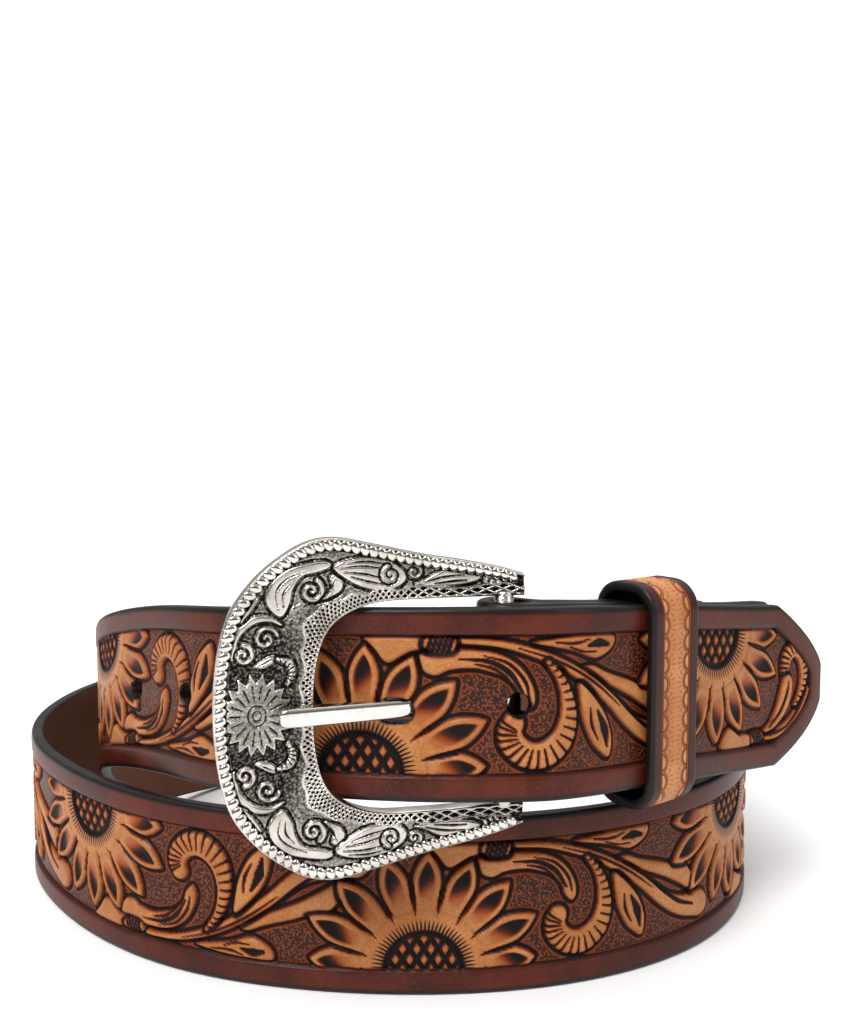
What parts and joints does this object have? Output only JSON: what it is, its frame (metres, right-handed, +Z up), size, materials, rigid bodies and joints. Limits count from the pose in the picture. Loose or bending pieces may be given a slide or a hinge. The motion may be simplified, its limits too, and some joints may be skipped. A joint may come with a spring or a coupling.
{
  "type": "western tooled belt",
  "caption": "Tooled leather western belt, buckled through a keeper loop with a horseshoe buckle and coiled into two turns that stand on edge.",
  "frame": {"origin": "middle of the underside of the coiled belt's bounding box, on the surface it stands on", "axes": "+Z up across the strap's width, -Y towards the side with the buckle, +X towards the pointed tip"},
  "size_m": [0.206, 0.1912, 0.098],
  "materials": {
    "tooled_leather": "hand-tooled, antiqued and glossy, with black edges",
    "keeper_leather": "stamped, antiqued and glossy",
    "cast_silver": "antiqued cast silver colour with dark recesses",
    "polished_silver": "polished"
  },
  "bodies": {
    "root": {"strap": "tooled_leather", "keeper": "keeper_leather", "buckle_frame": "cast_silver", "buckle_tongue": "polished_silver", "fold_post_1": "polished_silver", "fold_post_2": "polished_silver"}
  },
  "joints": []
}
